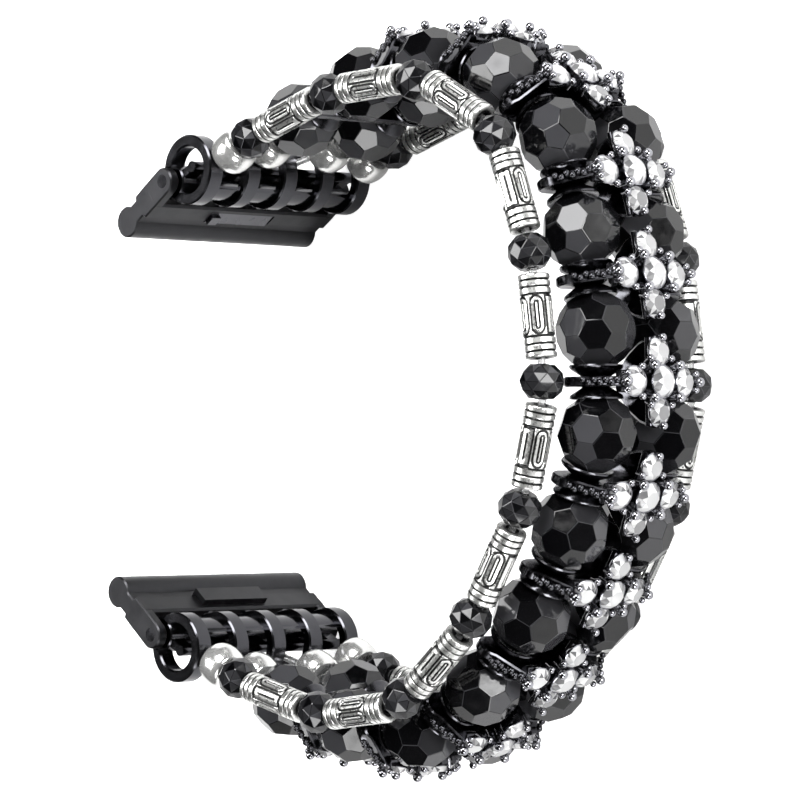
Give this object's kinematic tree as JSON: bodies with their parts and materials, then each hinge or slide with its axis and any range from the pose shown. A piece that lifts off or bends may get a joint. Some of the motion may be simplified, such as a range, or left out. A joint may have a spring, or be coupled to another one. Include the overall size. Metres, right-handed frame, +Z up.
{
  "type": "bead watch band",
  "caption": "Elastic watch band of faceted black beads, carved silver tubes and stone-set cross spacers, with hinged slide-in adapters at both ends.",
  "frame": {"origin": "middle of the band's box, on the plane that its lower side rests on", "axes": "+X to the far side of the loop, +Y from the lower end to the upper end, +Z up across the band's width"},
  "size_m": [0.0704, 0.0816, 0.0268],
  "materials": {
    "black_glass": "polished, flat facets",
    "clear_stone": "cut and polished",
    "gunmetal": "black plated, polished",
    "antique_silver": "antique silver plated, darkened grooves",
    "polished_silver": "polished silver plated",
    "pin_steel": "dark ground pin",
    "spring_steel": "bare spring strip",
    "clear_elastic": "clear elastic cord"
  },
  "bodies": {
    "middle_link": {"cross_spacer_07": "gunmetal", "rhinestones_07": "clear_stone", "elastic_cords": "clear_elastic"},
    "row_01": {"glass_beads_01": "black_glass", "smooth_beads_upper": "polished_silver"},
    "row_02": {"glass_beads_02": "black_glass"},
    "row_03": {"glass_beads_03": "black_glass"},
    "row_04": {"glass_beads_04": "black_glass", "silver_tubes_03": "antique_silver"},
    "row_05": {"glass_beads_05": "black_glass"},
    "row_06": {"glass_beads_06": "black_glass"},
    "row_07": {"glass_beads_07": "black_glass", "silver_tubes_05": "antique_silver"},
    "row_08": {"glass_beads_08": "black_glass", "silver_tubes_06": "antique_silver"},
    "row_09": {"glass_beads_09": "black_glass"},
    "row_10": {"glass_beads_10": "black_glass"},
    "row_11": {"glass_beads_11": "black_glass", "silver_tubes_08": "antique_silver"},
    "row_12": {"glass_beads_12": "black_glass"},
    "row_13": {"glass_beads_13": "black_glass"},
    "row_14": {"glass_beads_14": "black_glass", "smooth_beads_lower": "polished_silver"},
    "spacer_01": {"cross_spacer_01": "gunmetal", "silver_tubes_01": "antique_silver"},
    "spacer_02": {"cross_spacer_02": "gunmetal", "rhinestones_02": "clear_stone", "silver_tubes_02": "antique_silver"},
    "spacer_03": {"cross_spacer_03": "gunmetal", "rhinestones_03": "clear_stone"},
    "spacer_04": {"cross_spacer_04": "gunmetal", "rhinestones_04": "clear_stone"},
    "spacer_05": {"cross_spacer_05": "gunmetal", "rhinestones_05": "clear_stone", "silver_tubes_04": "antique_silver"},
    "spacer_06": {"cross_spacer_06": "gunmetal", "rhinestones_06": "clear_stone"},
    "spacer_08": {"cross_spacer_08": "gunmetal", "rhinestones_08": "clear_stone"},
    "spacer_09": {"cross_spacer_09": "gunmetal", "rhinestones_09": "clear_stone", "silver_tubes_07": "antique_silver"},
    "spacer_10": {"cross_spacer_10": "gunmetal", "rhinestones_10": "clear_stone"},
    "spacer_11": {"cross_spacer_11": "gunmetal", "rhinestones_11": "clear_stone"},
    "spacer_12": {"cross_spacer_12": "gunmetal", "rhinestones_12": "clear_stone", "silver_tubes_09": "antique_silver"},
    "spacer_13": {"cross_spacer_13": "gunmetal", "rhinestones_13": "clear_stone", "silver_tubes_10": "antique_silver"},
    "comb_upper": {"comb_upper": "gunmetal"},
    "adapter_upper": {"adapter_upper": "gunmetal", "adapter_pin_upper": "pin_steel"},
    "latch_upper": {"spring_latch_upper": "spring_steel"},
    "comb_lower": {"comb_lower": "gunmetal"},
    "adapter_lower": {"adapter_lower": "gunmetal", "adapter_pin_lower": "pin_steel"},
    "latch_lower": {"spring_latch_lower": "spring_steel"}
  },
  "joints": [
    {"name": "row_07_bend", "type": "hinge", "parent": "middle_link", "child": "row_07", "pos_m": [0.02852, 0.00741, 0.0134], "axis": [0, 0, -1], "range_deg": [-2, 10.1], "deforming": ["elastic_cords"]},
    {"name": "gap_06_stretch", "type": "slide", "parent": "row_07", "child": "spacer_06", "axis": [-0.2267, 0.974, 0], "range_m": [0, 0.0012]},
    {"name": "row_06_bend", "type": "hinge", "parent": "spacer_06", "child": "row_06", "pos_m": [0.02621, 0.01734, 0.0134], "axis": [0, 0, -1], "range_deg": [-2, 7.1]},
    {"name": "gap_05_stretch", "type": "slide", "parent": "row_06", "child": "spacer_05", "axis": [-0.3453, 0.9385, 0], "range_m": [0, 0.0012]},
    {"name": "row_05_bend", "type": "hinge", "parent": "spacer_05", "child": "row_05", "pos_m": [0.02269, 0.02691, 0.0134], "axis": [0, 0, -1], "range_deg": [-2, 31.7]},
    {"name": "gap_04_stretch", "type": "slide", "parent": "row_05", "child": "spacer_04", "axis": [-0.7869, 0.617, 0], "range_m": [0, 0.0012]},
    {"name": "row_04_bend", "type": "hinge", "parent": "spacer_04", "child": "row_04", "pos_m": [0.01466, 0.03321, 0.0134], "axis": [0, 0, -1], "range_deg": [-2, 29.5]},
    {"name": "gap_03_stretch", "type": "slide", "parent": "row_04", "child": "spacer_03", "axis": [-0.9888, 0.1495, 0], "range_m": [0, 0.0012]},
    {"name": "row_03_bend", "type": "hinge", "parent": "spacer_03", "child": "row_03", "pos_m": [0.00457, 0.03473, 0.0134], "axis": [0, 0, -1], "range_deg": [-2, 17.8]},
    {"name": "gap_02_stretch", "type": "slide", "parent": "row_03", "child": "spacer_02", "axis": [-0.9871, -0.1599, 0], "range_m": [0, 0.0012]},
    {"name": "row_02_bend", "type": "hinge", "parent": "spacer_02", "child": "row_02", "pos_m": [-0.0055, 0.0331, 0.0134], "axis": [0, 0, -1], "range_deg": [-2, 10.8]},
    {"name": "gap_01_stretch", "type": "slide", "parent": "row_02", "child": "spacer_01", "axis": [-0.9397, -0.342, 0], "range_m": [0, 0.0012]},
    {"name": "row_01_bend", "type": "hinge", "parent": "spacer_01", "child": "row_01", "pos_m": [-0.01508, 0.02961, 0.0134], "axis": [0, 0, -1], "range_deg": [-2, 8.2]},
    {"name": "row_08_bend", "type": "hinge", "parent": "middle_link", "child": "row_08", "pos_m": [0.02905, -0.00278, 0.0134], "axis": [0, 0, 1], "range_deg": [-2, 22.1]},
    {"name": "gap_08_stretch", "type": "slide", "parent": "row_08", "child": "spacer_08", "axis": [-0.3272, -0.9449, 0], "range_m": [0, 0.0012]},
    {"name": "row_09_bend", "type": "hinge", "parent": "spacer_08", "child": "row_09", "pos_m": [0.02571, -0.01242, 0.0134], "axis": [0, 0, 1], "range_deg": [-2, 9.8]},
    {"name": "gap_09_stretch", "type": "slide", "parent": "row_09", "child": "spacer_09", "axis": [-0.4833, -0.8755, 0], "range_m": [0, 0.0012]},
    {"name": "row_10_bend", "type": "hinge", "parent": "spacer_09", "child": "row_10", "pos_m": [0.02079, -0.02135, 0.0134], "axis": [0, 0, 1], "range_deg": [-2, 11.6]},
    {"name": "gap_10_stretch", "type": "slide", "parent": "row_10", "child": "spacer_10", "axis": [-0.6494, -0.7604, 0], "range_m": [0, 0.0012]},
    {"name": "row_11_bend", "type": "hinge", "parent": "spacer_10", "child": "row_11", "pos_m": [0.01416, -0.02911, 0.0134], "axis": [0, 0, 1], "range_deg": [-2, 18.6]},
    {"name": "gap_11_stretch", "type": "slide", "parent": "row_11", "child": "spacer_11", "axis": [-0.8581, -0.5135, 0], "range_m": [0, 0.0012]},
    {"name": "row_12_bend", "type": "hinge", "parent": "spacer_11", "child": "row_12", "pos_m": [0.00541, -0.03434, 0.0134], "axis": [0, 0, 1], "range_deg": [-2, 29.6]},
    {"name": "gap_12_stretch", "type": "slide", "parent": "row_12", "child": "spacer_12", "axis": [-0.9997, -0.0227, 0], "range_m": [0, 0.0012]},
    {"name": "row_13_bend", "type": "hinge", "parent": "spacer_12", "child": "row_13", "pos_m": [-0.00479, -0.03458, 0.0134], "axis": [0, 0, 1], "range_deg": [-2, 11.9]},
    {"name": "gap_13_stretch", "type": "slide", "parent": "row_13", "child": "spacer_13", "axis": [-0.9829, 0.184, 0], "range_m": [0, 0.0012]},
    {"name": "row_14_bend", "type": "hinge", "parent": "spacer_13", "child": "row_14", "pos_m": [-0.01481, -0.0327, 0.0134], "axis": [0, 0, 1], "range_deg": [-2, 15.2]},
    {"name": "comb_upper_swing", "type": "hinge", "parent": "row_01", "child": "comb_upper", "pos_m": [-0.02482, 0.02439, 0.0134], "axis": [0, 0, -1], "range_deg": [-15, 15]},
    {"name": "adapter_upper_swing", "type": "hinge", "parent": "comb_upper", "child": "adapter_upper", "pos_m": [-0.0279, 0.02274, 0.0134], "axis": [0, 0, -1], "range_deg": [-25, 25]},
    {"name": "latch_upper_press", "type": "hinge", "parent": "adapter_upper", "child": "latch_upper", "pos_m": [-0.03035, 0.01944, 0.0095], "axis": [-0.7934, -0.6088, 0], "range_deg": [0, 6], "stiffness_Nm_per_rad": 0.02},
    {"name": "comb_lower_swing", "type": "hinge", "parent": "row_14", "child": "comb_lower", "pos_m": [-0.02476, -0.02789, 0.0134], "axis": [0, 0, 1], "range_deg": [-15, 15]},
    {"name": "adapter_lower_swing", "type": "hinge", "parent": "comb_lower", "child": "adapter_lower", "pos_m": [-0.02791, -0.02637, 0.0134], "axis": [0, 0, 1], "range_deg": [-25, 25]},
    {"name": "latch_lower_press", "type": "hinge", "parent": "adapter_lower", "child": "latch_lower", "pos_m": [-0.03036, -0.02307, 0.0095], "axis": [0.7934, -0.6088, 0], "range_deg": [0, 6], "stiffness_Nm_per_rad": 0.02}
  ],
  "couplings": [
    {"joint": "gap_05_stretch", "follows": "gap_06_stretch", "ratio": 1},
    {"joint": "gap_04_stretch", "follows": "gap_06_stretch", "ratio": 1},
    {"joint": "gap_03_stretch", "follows": "gap_06_stretch", "ratio": 1},
    {"joint": "gap_02_stretch", "follows": "gap_06_stretch", "ratio": 1},
    {"joint": "gap_01_stretch", "follows": "gap_06_stretch", "ratio": 1},
    {"joint": "gap_08_stretch", "follows": "gap_06_stretch", "ratio": 1},
    {"joint": "gap_09_stretch", "follows": "gap_06_stretch", "ratio": 1},
    {"joint": "gap_10_stretch", "follows": "gap_06_stretch", "ratio": 1},
    {"joint": "gap_11_stretch", "follows": "gap_06_stretch", "ratio": 1},
    {"joint": "gap_12_stretch", "follows": "gap_06_stretch", "ratio": 1},
    {"joint": "gap_13_stretch", "follows": "gap_06_stretch", "ratio": 1}
  ]
}
